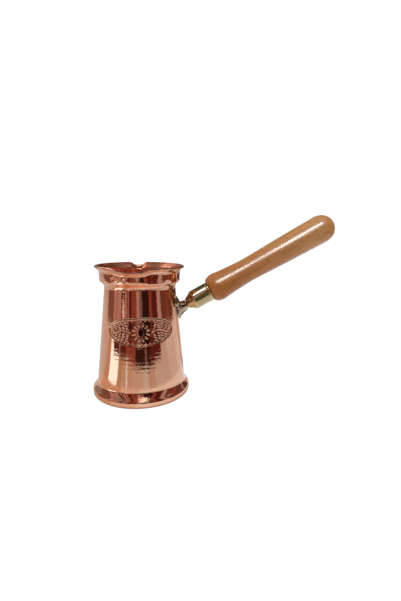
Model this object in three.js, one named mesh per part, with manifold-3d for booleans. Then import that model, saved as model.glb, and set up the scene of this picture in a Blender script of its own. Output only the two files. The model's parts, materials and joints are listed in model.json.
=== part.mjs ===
// A Turkish coffee pot (cezve): a spun copper body with two pouring spouts, a cast brass bracket
// riveted to its side, and a turned wooden handle that screws onto a steel stud in the bracket.
//
// Millimetres, +Z up. The origin is the middle of the underside, on the axis of the body.
// The handle points along +X and rises; its pieces are made along their own axis, local X,
// with stations counted from the axis of the body.

import * as THREE from 'three';
import { mergeVertices } from 'three/addons/utils/BufferGeometryUtils.js';
import Module from 'manifold-3d';

const wasm = await Module();
wasm.setup();

// ---------- driving dimensions ----------

const GAP = 0.3; // clearance between pieces that touch

// body of the pot: heights above the table, outside radii; each bend lists the two points that
// pull the curve towards the next part of the outline
const WALL = 1.2;
const FOOT = { radius: 33.45, corner: 1.15, straight: 2.2, bend: [[33.45, 4.2], [31.0, 5.2]] };
const CONE = { low: 9.5, lowRadius: 30.05, high: 64.8, highRadius: 24.6 };
const NECK = { low: 72.6, radius: 23.85, bend: [[23.85, 75.2], [24.9, 76.1]] };
const COLLAR = { low: 78.2, lowRadius: 26.6, high: 82.8, highRadius: 26.92 };
const LIP = { low: 86.2, radius: 29.7, height: 87.7, bend: [[27.2, 84.2], [28.3, 85.2]] };
const CROWN = { edge: 0.1, out: 0.15, under: 0.4, in: 0.35, over: 0.45 };
const POT_SEGMENTS = 56;

// two spouts pressed out of lip and collar: direction, reach to either side in degrees, how far
// the wall goes out and how far the lip dips; the middle of each is evenly deep
const SPOUTS = [
  { angle: -94.3, before: 34, after: 22, out: 2.4, drop: 2.2 },
  { angle: 94.3, before: 13, after: 13, out: 2.4, drop: 2.3 },
];
const SPOUT_FLOOR = 0.25;
const THROAT = { low: 76.0, high: 79.5, share: 0.4 };
const BULGE_START = 82.0;
const DIP_START = 80.8;

// the handle's axis crosses the pot's axis at this height and rises at this angle
const HANDLE_HEIGHT = 42.8;
const HANDLE_RISE = 29.0;

// cast brass bracket: a shield-shaped flange that thins towards its top, a short neck that flares
// into it, and a rib below
const FLANGE = { halfWidth: 11.0, corner: 2.0, top: 65.4, wing: 60.8, waist: [3.4, 57.6], tip: 50.4 };
const FLANGE_THICKNESS = { body: 1.6, thinFrom: 63.0, edge: 0.4 };
const FLANGE_TIP = { half: 1.0, round: 0.7 };
const BRACKET_NECK = { radius: 3.3, end: 36.3, rootFlare: 3.0, reach: 4.6 };
const RIB = { thickness: 2.6, out: 0.9, bend: [29.4, 54.4], nose: [32.6, 56.7], back: [30.6, 59.2] };
const INSIDE_WALL = 22; // blanks start here, inside the pot, before the wall's cone trims them
const FLANGE_BLANK = { start: 18, depth: 16 };
const FLARE_STEPS = 14;

// rivets through flange and wall
const RIVET = { shank: 1.1, head: 1.8, headHeight: 0.9, innerHead: 2.1, innerHeight: 0.7 };
const DOME_FULLNESS = 0.6;
const RIVET_CHAMFER = 0.4;
const HOLE_REACH = 8; // a rivet hole is cut this far either side of the wall
const RIVET_PLACE = { angle: 19.5, height: 62.7 };

// M4 steel stud, and the threaded insert that it holds
const STUD = { radius: 2.0, start: 33.0, end: 57.0, clearance: 0.5 };
const INSERT = { radius: 3.2, start: 48.0, end: 57.0, slot: 0.8, slotDepth: 1.0 };

// brass ferrule
const FERRULE = { start: 36.6, shoulder: 41.4, end: 54.7, radius: 6.65, wall: 0.9, front: 3.35 };
const SHOULDER = { in: 1.0, before: 1.0, after: 0.9, step: 1.2 };

// turned wooden grip: radius and station of each point of its waist, then the rounded end
const GRIP = { start: 55.0, end: 154.6, frontRadius: 6.6 };
const WAIST = [[9.95, 61.8], [9.0, 71], [8.3, 84], [8.55, 97], [9.35, 122], [9.85, 144]];
const GRIP_SQUARENESS = 2.15;
const CAP_STEPS = 7;
const SPIGOT = { start: FERRULE.shoulder + 1.8, chamfer: 0.6 };
const BORE_END = { straight: 4, point: 5 };
const GRIP_SEGMENTS = 32;

// ---------- materials ----------

function metal(color, roughness) {
  return new THREE.MeshStandardMaterial({ color, roughness, metalness: 1 });
}

const copper = metal(0xd98a63, 0.16);
const brass = metal(0xc9b070, 0.22);
const steel = metal(0xa8abb0, 0.35);
const wood = new THREE.MeshStandardMaterial({ color: 0xb5713d, roughness: 0.35, metalness: 0 });

// ---------- helpers ----------

const radians = THREE.MathUtils.degToRad;
const smooth = (value, low, high) => THREE.MathUtils.smoothstep(value, low, high);

// A closed geometry as a manifold solid: positions only, shared vertices merged, and the
// slivers of no area that a lathe leaves on its axis dropped.
function toSolid(geometry) {
  const bare = geometry.clone();
  bare.deleteAttribute('normal');
  bare.deleteAttribute('uv');
  const merged = mergeVertices(bare, 1e-4);
  const index = merged.index.array;
  const triangles = [];
  for (let i = 0; i < index.length; i += 3) {
    const [a, b, c] = [index[i], index[i + 1], index[i + 2]];
    if (a !== b && b !== c && a !== c) triangles.push(a, b, c);
  }
  return new wasm.Manifold(new wasm.Mesh({
    numProp: 3,
    vertProperties: new Float32Array(merged.attributes.position.array),
    triVerts: new Uint32Array(triangles),
  }));
}

function toGeometry(solid) {
  const { vertProperties, triVerts } = solid.getMesh();
  const geometry = new THREE.BufferGeometry();
  geometry.setAttribute('position', new THREE.BufferAttribute(vertProperties, 3));
  geometry.setIndex(new THREE.BufferAttribute(triVerts, 1));
  return geometry;
}

// Moves every vertex of a geometry by a function that changes it in place.
function reshape(geometry, change) {
  const position = geometry.attributes.position;
  const point = new THREE.Vector3();
  for (let i = 0; i < position.count; i++) {
    point.fromBufferAttribute(position, i);
    change(point);
    position.setXYZ(i, point.x, point.y, point.z);
  }
  return geometry;
}

// A turned solid about +Z, from an outline of (radius, height).
function turnedUpright(outline, segments) {
  return new THREE.LatheGeometry(outline, segments).rotateX(Math.PI / 2);
}

// A turned solid about +X, from an outline of (radius, station).
function turnedAlong(outline, segments) {
  return new THREE.LatheGeometry(outline, segments).rotateZ(-Math.PI / 2);
}

function ring(start, end, inner, outer, segments) {
  const outline = [[inner, start], [outer, start], [outer, end], [inner, end], [inner, start]];
  return turnedAlong(outline.map(([r, t]) => new THREE.Vector2(r, t)), segments);
}

function rod(start, end, radius, segments) {
  return new THREE.CylinderGeometry(radius, radius, end - start, segments)
    .rotateZ(-Math.PI / 2)
    .translate((start + end) / 2, 0, 0);
}

// ---------- body of the pot ----------

// Outside radius of the plain cone that the bracket sits on.
function coneRadius(height) {
  const along = (height - CONE.low) / (CONE.high - CONE.low);
  return THREE.MathUtils.lerp(CONE.lowRadius, CONE.highRadius, along);
}

function curveTo(path, bend, radius, height) {
  path.bezierCurveTo(...bend[0], ...bend[1], radius, height);
}

function outerOutline() {
  const flat = FOOT.radius - FOOT.corner;
  const path = new THREE.Path();
  path.moveTo(flat, 0);
  path.absarc(flat, FOOT.corner, FOOT.corner, -Math.PI / 2, 0, false);
  path.lineTo(FOOT.radius, FOOT.straight);
  curveTo(path, FOOT.bend, CONE.lowRadius, CONE.low);
  path.lineTo(CONE.highRadius, CONE.high);
  path.lineTo(NECK.radius, NECK.low);
  curveTo(path, NECK.bend, COLLAR.lowRadius, COLLAR.low);
  path.lineTo(COLLAR.highRadius, COLLAR.high);
  curveTo(path, LIP.bend, LIP.radius - CROWN.edge, LIP.low);
  return path.getPoints(3);
}

// The same outline moved inwards by the wall, square to itself at each point.
function innerOutline(outer) {
  return outer.map((point, i) => {
    const before = outer[Math.max(i - 1, 0)];
    const after = outer[Math.min(i + 1, outer.length - 1)];
    const along = after.clone().sub(before).normalize();
    return new THREE.Vector2(point.x - along.y * WALL, point.y + along.x * WALL);
  });
}

function potOutline() {
  const outer = outerOutline();
  const inner = innerOutline(outer).reverse();
  const rimOut = outer.at(-1);
  const rimIn = inner[0];
  const crown = new THREE.CubicBezierCurve(
    rimOut,
    new THREE.Vector2(LIP.radius + CROWN.out, LIP.height - CROWN.under),
    new THREE.Vector2(rimIn.x + CROWN.in, LIP.height + CROWN.over),
    rimIn,
  );
  return [
    new THREE.Vector2(0, 0),
    ...outer,
    ...crown.getPoints(4).slice(1, -1),
    ...inner,
    new THREE.Vector2(0, WALL),
  ];
}

// How far a point round the pot is inside a spout, from 0 outside to 1 on its evenly deep middle.
function spoutShare(point, spout) {
  const around = THREE.MathUtils.radToDeg(Math.atan2(point.y, point.x));
  const off = THREE.MathUtils.euclideanModulo(around - spout.angle + 180, 360) - 180;
  return 1 - smooth(Math.abs(off) / (off < 0 ? spout.before : spout.after), SPOUT_FLOOR, 1);
}

// Presses the two spouts: collar and lip bulge outwards and the lip dips.
function pressSpouts(point) {
  const throat = THROAT.share * smooth(point.z, THROAT.low, THROAT.high);
  const lift = throat + (1 - THROAT.share) * smooth(point.z, BULGE_START, LIP.height);
  const dip = smooth(point.z, DIP_START, LIP.height);
  for (const spout of SPOUTS) {
    const share = spoutShare(point, spout);
    if (share === 0 || lift === 0) continue;
    const radius = Math.hypot(point.x, point.y);
    const grown = (radius + spout.out * share * lift) / radius;
    point.x *= grown;
    point.y *= grown;
    point.z -= spout.drop * share * dip;
  }
}

// ---------- rivets ----------

// Where a rivet crosses the outside of the wall, and its outward direction, square to the cone.
function rivetPlace(side) {
  const around = radians(RIVET_PLACE.angle * side);
  const slope = (CONE.lowRadius - CONE.highRadius) / (CONE.high - CONE.low);
  const outward = new THREE.Vector3(Math.cos(around), Math.sin(around), slope).normalize();
  const radius = coneRadius(RIVET_PLACE.height);
  const foot = new THREE.Vector3(
    radius * Math.cos(around),
    radius * Math.sin(around),
    RIVET_PLACE.height,
  );
  return { foot, outward };
}

// Puts a geometry made along +X, counted from the wall's outside, at a rivet's place.
function atRivet(geometry, side) {
  const { foot, outward } = rivetPlace(side);
  const turn = new THREE.Quaternion().setFromUnitVectors(new THREE.Vector3(1, 0, 0), outward);
  return geometry.clone().applyQuaternion(turn).translate(foot.x, foot.y, foot.z);
}

const rivetHole = rod(-HOLE_REACH, HOLE_REACH, RIVET.shank + GAP, 16);

function rivetSolid() {
  const inside = -WALL - GAP;
  const outside = GAP + FLANGE_THICKNESS.body + GAP;
  const dome = new THREE.Path();
  dome.moveTo(0, inside - RIVET.innerHeight);
  dome.lineTo(RIVET.innerHead - RIVET_CHAMFER, inside - RIVET.innerHeight);
  dome.lineTo(RIVET.innerHead, inside);
  dome.lineTo(RIVET.shank, inside);
  dome.lineTo(RIVET.shank, outside);
  dome.lineTo(RIVET.head, outside);
  dome.bezierCurveTo(
    RIVET.head, outside + RIVET.headHeight * DOME_FULLNESS,
    RIVET.head * DOME_FULLNESS, outside + RIVET.headHeight,
    0, outside + RIVET.headHeight,
  );
  return turnedAlong(dome.getPoints(4), 16);
}

// ---------- bracket ----------

const BELOW_FLANGE = FLANGE.tip - 4;
const ABOVE_FLANGE = FLANGE.top + 4;

// The cone of the wall, grown outwards, over the height of the flange.
function wallCone(growth) {
  const height = ABOVE_FLANGE - BELOW_FLANGE;
  return new THREE.CylinderGeometry(
    coneRadius(ABOVE_FLANGE) + growth, coneRadius(BELOW_FLANGE) + growth, height, 96,
  ).rotateX(Math.PI / 2).translate(0, 0, (BELOW_FLANGE + ABOVE_FLANGE) / 2);
}

// The outside of the flange: as thick as its body low down, thinning to an edge at the top.
function flangeFace() {
  const { body, thinFrom, edge } = FLANGE_THICKNESS;
  const thinning = (body - edge) / (FLANGE.top - thinFrom);
  const beyond = Math.max(edge - thinning * (ABOVE_FLANGE - FLANGE.top), -GAP);
  const outline = [
    [0, BELOW_FLANGE],
    [coneRadius(BELOW_FLANGE) + GAP + body, BELOW_FLANGE],
    [coneRadius(thinFrom) + GAP + body, thinFrom],
    [coneRadius(FLANGE.top) + GAP + edge, FLANGE.top],
    [coneRadius(ABOVE_FLANGE) + GAP + beyond, ABOVE_FLANGE],
    [0, ABOVE_FLANGE],
  ];
  return turnedUpright(outline.map(([r, z]) => new THREE.Vector2(r, z)), 96);
}

// Shield outline in (across, height): rounded wings and concave sides down to a blunt tip.
function shieldOutline() {
  const { halfWidth, corner, top, wing, waist, tip } = FLANGE;
  const shape = new THREE.Shape();
  shape.moveTo(0, top);
  shape.lineTo(halfWidth - corner, top);
  shape.quadraticCurveTo(halfWidth, top, halfWidth, top - corner);
  shape.quadraticCurveTo(halfWidth, wing, halfWidth - corner, wing - FLANGE_TIP.round);
  shape.quadraticCurveTo(...waist, FLANGE_TIP.half, tip);
  shape.quadraticCurveTo(0, tip - FLANGE_TIP.round, -FLANGE_TIP.half, tip);
  shape.quadraticCurveTo(-waist[0], waist[1], corner - halfWidth, wing - FLANGE_TIP.round);
  shape.quadraticCurveTo(-halfWidth, wing, -halfWidth, top - corner);
  shape.quadraticCurveTo(-halfWidth, top, corner - halfWidth, top);
  shape.closePath();
  return shape;
}

function flangeBlank() {
  const { start, depth } = FLANGE_BLANK;
  // extruded along its own Z, then stood up: outline X to +Y, outline Y to +Z, depth to +X
  const stand = new THREE.Matrix4().makeBasis(
    new THREE.Vector3(0, 1, 0), new THREE.Vector3(0, 0, 1), new THREE.Vector3(1, 0, 0),
  );
  return new THREE.ExtrudeGeometry(shieldOutline(), { depth, bevelEnabled: false, curveSegments: 6 })
    .applyMatrix4(stand)
    .translate(start, 0, 0);
}

// A piece made along the handle's axis, moved to its place in the pot's frame.
function alongHandle(geometry) {
  return geometry.clone().rotateY(-radians(HANDLE_RISE)).translate(0, 0, HANDLE_HEIGHT);
}

// The neck: round, and flaring into the flange as it nears the wall.
function neckBlank() {
  const length = BRACKET_NECK.end - INSIDE_WALL;
  const neck = new THREE.CylinderGeometry(1, 1, length, 32, FLARE_STEPS)
    .rotateZ(-Math.PI / 2)
    .translate(INSIDE_WALL + length / 2, 0, 0);
  reshape(neck, (point) => {
    point.y *= BRACKET_NECK.radius;
    point.z *= BRACKET_NECK.radius;
  });
  const axis = new THREE.Vector3();
  const rise = radians(HANDLE_RISE);
  return reshape(alongHandle(neck), (point) => {
    const fromWall = Math.max(Math.hypot(point.x, point.y) - coneRadius(point.z), 0);
    const near = Math.max(1 - fromWall / BRACKET_NECK.reach, 0);
    const station = point.x * Math.cos(rise) + (point.z - HANDLE_HEIGHT) * Math.sin(rise);
    axis.set(station * Math.cos(rise), 0, HANDLE_HEIGHT + station * Math.sin(rise));
    const grown = 1 + (BRACKET_NECK.rootFlare / BRACKET_NECK.radius) * near * near;
    point.sub(axis).multiplyScalar(grown).add(axis);
  });
}

// A rib under the neck that runs down to the tip of the shield.
function ribBlank() {
  const shape = new THREE.Shape();
  shape.moveTo(INSIDE_WALL, FLANGE.tip);
  shape.lineTo(coneRadius(FLANGE.tip) + RIB.out, FLANGE.tip);
  shape.quadraticCurveTo(...RIB.bend, ...RIB.nose);
  shape.lineTo(...RIB.back);
  shape.lineTo(INSIDE_WALL, RIB.back[1]);
  shape.closePath();
  const half = RIB.thickness / 2;
  return new THREE.ExtrudeGeometry(shape, { depth: RIB.thickness, bevelEnabled: false, curveSegments: 6 })
    .rotateX(Math.PI / 2)
    .translate(0, half, 0);
}

function bracketSolid() {
  const flange = toSolid(flangeBlank()).intersect(toSolid(flangeFace()));
  const bore = alongHandle(rod(STUD.start - GAP, BRACKET_NECK.end + 5, STUD.radius + GAP, 24));
  let solid = flange
    .add(toSolid(neckBlank()))
    .add(toSolid(ribBlank()))
    .subtract(toSolid(wallCone(GAP)))
    .subtract(toSolid(bore));
  for (const side of [-1, 1]) solid = solid.subtract(toSolid(atRivet(rivetHole, side)));
  return solid;
}

// ---------- handle pieces, along their own axis ----------

function ferruleSolid() {
  const { start, shoulder, end, radius, wall, front } = FERRULE;
  const bore = STUD.radius + STUD.clearance;
  const path = new THREE.Path();
  path.moveTo(bore, start);
  path.lineTo(front, start);
  path.lineTo(radius - SHOULDER.in, shoulder - SHOULDER.before);
  path.quadraticCurveTo(radius, shoulder, radius, shoulder + SHOULDER.after);
  path.lineTo(radius, end);
  path.lineTo(radius - wall, end);
  path.lineTo(radius - wall, shoulder + SHOULDER.step);
  path.lineTo(bore, start + 2 * wall);
  path.lineTo(bore, start);
  return turnedAlong(path.getPoints(4), GRIP_SEGMENTS);
}

function insertSolid() {
  const { radius, start, end, slot, slotDepth } = INSERT;
  const sleeve = toSolid(ring(start, end, STUD.radius + GAP, radius, 28));
  const driver = new THREE.BoxGeometry(2 * slotDepth, 4 * radius, slot).translate(start, 0, 0);
  return sleeve.subtract(toSolid(driver));
}

// Outline of the grip from the front of its bulb to the rounded end.
function gripOutline() {
  const [bulb, bulbAt] = WAIST[0];
  const [endRadius, endAt] = WAIST.at(-1);
  const front = new THREE.EllipseCurve(
    GRIP.frontRadius, bulbAt, bulb - GRIP.frontRadius, bulbAt - GRIP.start, -Math.PI / 2, 0, false,
  );
  const waist = new THREE.SplineCurve(WAIST.map(([r, t]) => new THREE.Vector2(r, t)));
  const cap = [];
  for (let i = 1; i < CAP_STEPS; i++) {
    const turn = (Math.PI / 2) * (i / CAP_STEPS);
    const power = 2 / GRIP_SQUARENESS;
    cap.push(new THREE.Vector2(
      endRadius * Math.cos(turn) ** power,
      endAt + (GRIP.end - endAt) * Math.sin(turn) ** power,
    ));
  }
  return [...front.getPoints(5), ...waist.getPoints(12).slice(1), ...cap];
}

function gripSolid() {
  const spigot = FERRULE.radius - FERRULE.wall - GAP;
  const clear = STUD.radius + STUD.clearance;
  const seat = INSERT.radius + GAP;
  const points = (list) => list.map(([r, t]) => new THREE.Vector2(r, t));
  const bore = points([
    [0, INSERT.end + BORE_END.point],
    [clear, INSERT.end + BORE_END.straight],
    [clear, INSERT.end + GAP],
    [seat, INSERT.end + GAP],
    [seat, INSERT.start - GAP],
    [clear, INSERT.start - GAP],
    [clear, SPIGOT.start],
  ]);
  const nose = points([
    [spigot - SPIGOT.chamfer, SPIGOT.start],
    [spigot, SPIGOT.start + SPIGOT.chamfer],
    [spigot, GRIP.start],
  ]);
  const outline = [...bore, ...nose, ...gripOutline(), new THREE.Vector2(0, GRIP.end)];
  return turnedAlong(outline, GRIP_SEGMENTS);
}

// ---------- assembly ----------

function piece(name, geometry, material) {
  const mesh = new THREE.Mesh(geometry, material);
  mesh.name = name;
  return mesh;
}

const cezve = new THREE.Group();

let body = toSolid(reshape(turnedUpright(potOutline(), POT_SEGMENTS), pressSpouts));
for (const side of [-1, 1]) body = body.subtract(toSolid(atRivet(rivetHole, side)));
cezve.add(piece('pot_body', toGeometry(body), copper));
cezve.add(piece('handle_bracket', toGeometry(bracketSolid()), brass));
cezve.add(piece('rivet_front', atRivet(rivetSolid(), -1), brass));
cezve.add(piece('rivet_rear', atRivet(rivetSolid(), 1), brass));

const handle = new THREE.Group();
handle.position.z = HANDLE_HEIGHT;
handle.rotation.y = -radians(HANDLE_RISE);
handle.add(piece('threaded_stud', rod(STUD.start, STUD.end, STUD.radius, 24), steel));
handle.add(piece('ferrule', ferruleSolid(), brass));
handle.add(piece('threaded_insert', toGeometry(insertSolid()), brass));
handle.add(piece('wooden_grip', gripSolid(), wood));
cezve.add(handle);

export default cezve;
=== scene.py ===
"""Looks of a Turkish coffee pot: spun copper, cast and turned brass, a varnished beech grip.

Everything is in metres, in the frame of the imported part: +Z up, the origin under the pot's axis,
the handle towards +X. Sizes written in millimetres are multiplied by MM where they are used.
"""

import itertools
import json
import math

import bpy
import numpy as np
from mathutils import Matrix, Vector


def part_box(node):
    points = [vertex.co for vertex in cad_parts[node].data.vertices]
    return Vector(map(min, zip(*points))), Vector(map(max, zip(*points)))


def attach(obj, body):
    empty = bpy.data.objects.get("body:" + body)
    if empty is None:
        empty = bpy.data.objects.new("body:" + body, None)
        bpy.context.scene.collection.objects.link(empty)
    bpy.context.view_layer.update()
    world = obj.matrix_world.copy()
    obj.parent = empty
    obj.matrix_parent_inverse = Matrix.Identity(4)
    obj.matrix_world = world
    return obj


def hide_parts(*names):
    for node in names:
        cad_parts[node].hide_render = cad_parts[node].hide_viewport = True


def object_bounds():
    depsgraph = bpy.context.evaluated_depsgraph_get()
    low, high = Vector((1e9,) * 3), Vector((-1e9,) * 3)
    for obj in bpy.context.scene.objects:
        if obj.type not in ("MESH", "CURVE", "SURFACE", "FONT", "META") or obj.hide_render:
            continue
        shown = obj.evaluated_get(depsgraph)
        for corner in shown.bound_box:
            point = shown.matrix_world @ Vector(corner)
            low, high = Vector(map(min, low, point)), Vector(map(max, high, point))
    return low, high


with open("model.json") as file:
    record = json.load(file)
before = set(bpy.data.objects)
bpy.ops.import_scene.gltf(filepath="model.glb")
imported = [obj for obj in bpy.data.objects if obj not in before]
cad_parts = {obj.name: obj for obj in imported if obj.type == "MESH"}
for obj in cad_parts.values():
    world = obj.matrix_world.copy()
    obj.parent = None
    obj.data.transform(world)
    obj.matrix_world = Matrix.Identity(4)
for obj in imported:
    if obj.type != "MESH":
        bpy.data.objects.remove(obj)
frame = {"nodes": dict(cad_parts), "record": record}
cad_low, cad_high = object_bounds()

MM = 0.001
TINY = 1e-6

# ---------- sizes, in millimetres ----------

# the pot's outline: places on it are a radius and a height
WALL = 1.15
BASE_HOLLOW = (23.5, 0.55)
FOOT_FLAT = 26.0
FOOT_RADIUS = cad_high.y / MM
FOOT_ROUND = 1.2
FOOT_TOP = 3.4
CONE_LOW = (30.05, 9.5)
CONE_HIGH = (24.6, 64.8)
NECK = (23.85, 72.6)
SHOULDER = (25.6, 76.4)
COLLAR_FOOT = (26.7, 77.8)
COLLAR_TOP = (26.84, 83.2)
LIP_RADIUS = 29.7
LIP_START = (LIP_RADIUS - 0.35, 86.1)
BEAD = 0.88
POT_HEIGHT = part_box("pot_body")[1].z / MM
INSIDE_TOP = 85.6
INSIDE_FLOOR = WALL + 0.45
INSIDE_REACH = 22.0  # the inside's floor is nearer to the axis than this
UNDERSIDE_TOP = 1.0  # and every face of the underside is lower than this

# direction, reach clockwise and anticlockwise in degrees, push outwards, drop of the lip
SPOUTS = [
    (-94.3, 34.0, 22.0, 2.4, 2.2),
    (94.3, 13.0, 13.0, 2.4, 2.3),
]
SPOUT_FLOOR = 0.25  # share of the reach that is evenly deep
THROAT = (76.0, 79.5)  # between these heights the wall goes out by the throat's share
THROAT_SHARE = 0.4
BULGE_START = 82.0

SPIN_PITCH = 2.6  # faint rings that the spinning tool left
SPIN_DEPTH = 0.007
SPIN_BAND = (12, 20, 60, 66)  # heights where the rings start, are full, start to fade and end
SPIN_WORN = (33, 40, 0.75)  # from one height to the other polishing takes up to this share away
HAND_WORK = (76.5, 79.0, 85.0, 87.0)  # the same four heights for the unevenness of collar and lip

MESH_STEP = 0.45
FLAT_STEP = 1.2
FOOT_STEP = 0.4
STAMP_STEP = 0.22  # the mesh is finer between these heights, and this far round from the stamp
STAMP_BAND = (36.8, 58.6)
STAMP_REACH = 52.0

STAMP_AZIMUTH = -87.7
STAMP_HEIGHT = 47.7
STAMP_HALF = (22.8, 9.0)  # along the wall, up the wall
STAMP_RELIEF = 0.38
STAMP_MARGIN = 1.1  # the relief is worked out to this share of the stamp's size
GROUND_EDGE = (0.85, 1.25)  # distances inside the outline between which the ground sinks
GROOVE = (0.35, 0.25)  # distance inside the outline, width
RAISED_LINE = (0.90, 0.20)
BEAD_INSET = 1.8
BEADS = 48
PETALS = 12
PETAL_RING = (4.6, 4.7)
PETAL_HALF = (1.45, 0.62)
ALMOND_HALF = (1.75, 2.7)
STEM_START = 7.2
STEM_LENGTH = 12.0
STEM_WAVE = (2.6, 1.2)  # pitch, height
LEAF_HALF = (1.3, 0.55)
LEAF_ROWS = (1, 2, 3)  # on each side of the stem
LEAF_GAP = 1.85  # from one row of leaves to the next
LEAVES = 5  # in each row

VOXEL = 0.14  # of the bracket's skin before it is smoothed
SMOOTHING = (0.5, 14)  # factor, rounds

RIVET_AZIMUTH = 19.5
RIVET_HEIGHT = 62.7
RIVET_SHANK = 1.1
RIVET_SEAT = 1.75  # the head's underside, from the wall's outside
RIVET_TAIL = 0.95  # how far the inner head stands off the wall

STUD = (33.0, 57.0)  # stations of its ends
STUD_CHAMFER = (0.4, 1.4)  # length, radius at the end
THREAD = (1.62, 1.98, 0.7)  # core, crest, pitch

HANDLE_BORE = 2.5
FERRULE = (36.6, 41.4, 54.75)  # stations of its front, shoulder and back
FERRULE_RADIUS = 6.65
FERRULE_NOSE = 3.6
FERRULE_WALL = 0.9

GRIP_START = 55.0
GRIP_END = 154.5
GRIP_FRONT = 6.6
GRIP_WAIST = [(9.92, 61.8), (9.0, 71), (8.3, 84), (8.55, 97), (9.32, 122), (9.8, 144)]
GRIP_SQUARENESS = 2.15  # of the rounded end: 2 would be an ellipse
SPIGOT = (5.4, 43.2, 0.6)  # radius, station of its end, chamfer
INSERT_SEAT = (3.5, 47.7, 57.3)  # radius, stations
BORE_END = (61.0, 62.0)  # stations of the drill's shoulder and point

joints = {joint["name"]: joint for joint in frame["record"]["behaviour"]["joints"]}
turn_joint = joints["handle_turn"]
HANDLE_AXIS = Vector(turn_joint["axis"]).normalized()
HANDLE_RISE = math.degrees(math.asin(HANDLE_AXIS.z))
HANDLE_HEIGHT = turn_joint["pos_m"][2] / MM

# ---------- mesh helpers ----------


class Outline:
    """A run of (radius, height) points, in millimetres, with its round stretches worked out."""

    def __init__(self, *start):
        self.points = [start] if start else []

    def line(self, r, z, step=math.inf):
        r0, z0 = self.points[-1]
        count = max(1, round(math.hypot(r - r0, z - z0) / step))
        for i in range(1, count + 1):
            t = i / count
            self.points.append((r0 + (r - r0) * t, z0 + (z - z0) * t))
        return self

    def curve(self, one, two, end, count):
        start = self.points[-1]
        for i in range(1, count + 1):
            t = i / count
            s = 1 - t
            weights = (s**3, 3 * s * s * t, 3 * s * t * t, t**3)
            corners = (start, one, two, end)
            place = [sum(w * corner[k] for w, corner in zip(weights, corners)) for k in (0, 1)]
            self.points.append(tuple(place))
        return self

    def arc(self, centre, radius, start, end, count):
        for i in range(count + 1):
            turn = math.radians(start + (end - start) * i / count)
            place = (centre[0] + radius * math.cos(turn), centre[1] + radius * math.sin(turn))
            self.points.append(place)
        return self


def inset(points, depth):
    """The outline moved to its left by depth, square to itself at each point."""
    path = np.array(points)
    along = np.gradient(path, axis=0)
    along /= np.linalg.norm(along, axis=1)[:, None]
    return [tuple(p) for p in path + depth * np.stack([-along[:, 1], along[:, 0]], axis=1)]


def new_object(name, vertices, faces):
    mesh = bpy.data.meshes.new(name)
    mesh.from_pydata(vertices, [], faces)
    mesh.validate()
    mesh.polygons.foreach_set("use_smooth", [True] * len(mesh.polygons))
    mesh.update()
    piece = bpy.data.objects.new(name, mesh)
    bpy.context.scene.collection.objects.link(piece)
    return piece


def turned(name, outline, angles, change=None):
    """A closed solid of revolution about +Z from an outline that starts and ends on the axis."""
    rows = np.array(outline[1:-1]) * MM
    turn = np.radians(angles)
    count = len(turn)
    x = rows[:, 0][:, None] * np.cos(turn)
    y = rows[:, 0][:, None] * np.sin(turn)
    z = np.repeat(rows[:, 1][:, None], count, axis=1)
    grid = np.stack([x, y, z], axis=-1)
    if change:
        grid = change(grid)
    vertices = [tuple(v) for v in grid.reshape(-1, 3)]
    bottom, top = len(vertices), len(vertices) + 1
    vertices += [(0, 0, outline[0][1] * MM), (0, 0, outline[-1][1] * MM)]
    faces = []
    for i in range(len(rows) - 1):
        for j in range(count):
            k = (j + 1) % count
            a, b = i * count + j, i * count + k
            faces.append((a, b, b + count, a + count))
    last = (len(rows) - 1) * count
    for j in range(count):
        k = (j + 1) % count
        faces.append((bottom, k, j))
        faces.append((top, last + j, last + k))
    return new_object(name, vertices, faces)


def even(count):
    """Directions in degrees, evenly spread round a circle."""
    return np.arange(count) * 360.0 / count


def stand_on_handle(piece):
    """Moves a solid turned about +Z, with heights as stations, onto the handle's axis."""
    turn = Matrix.Rotation(math.radians(90 - HANDLE_RISE), 4, "Y")
    piece.data.transform(Matrix.Translation((0, 0, HANDLE_HEIGHT * MM)) @ turn)
    return piece


def smoothstep(value, low, high):
    """0 below low, 1 above high, and a smooth rise between them."""
    t = np.clip((value - low) / (high - low), 0, 1)
    return t * t * (3 - 2 * t)


# ---------- node helpers ----------


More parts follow.
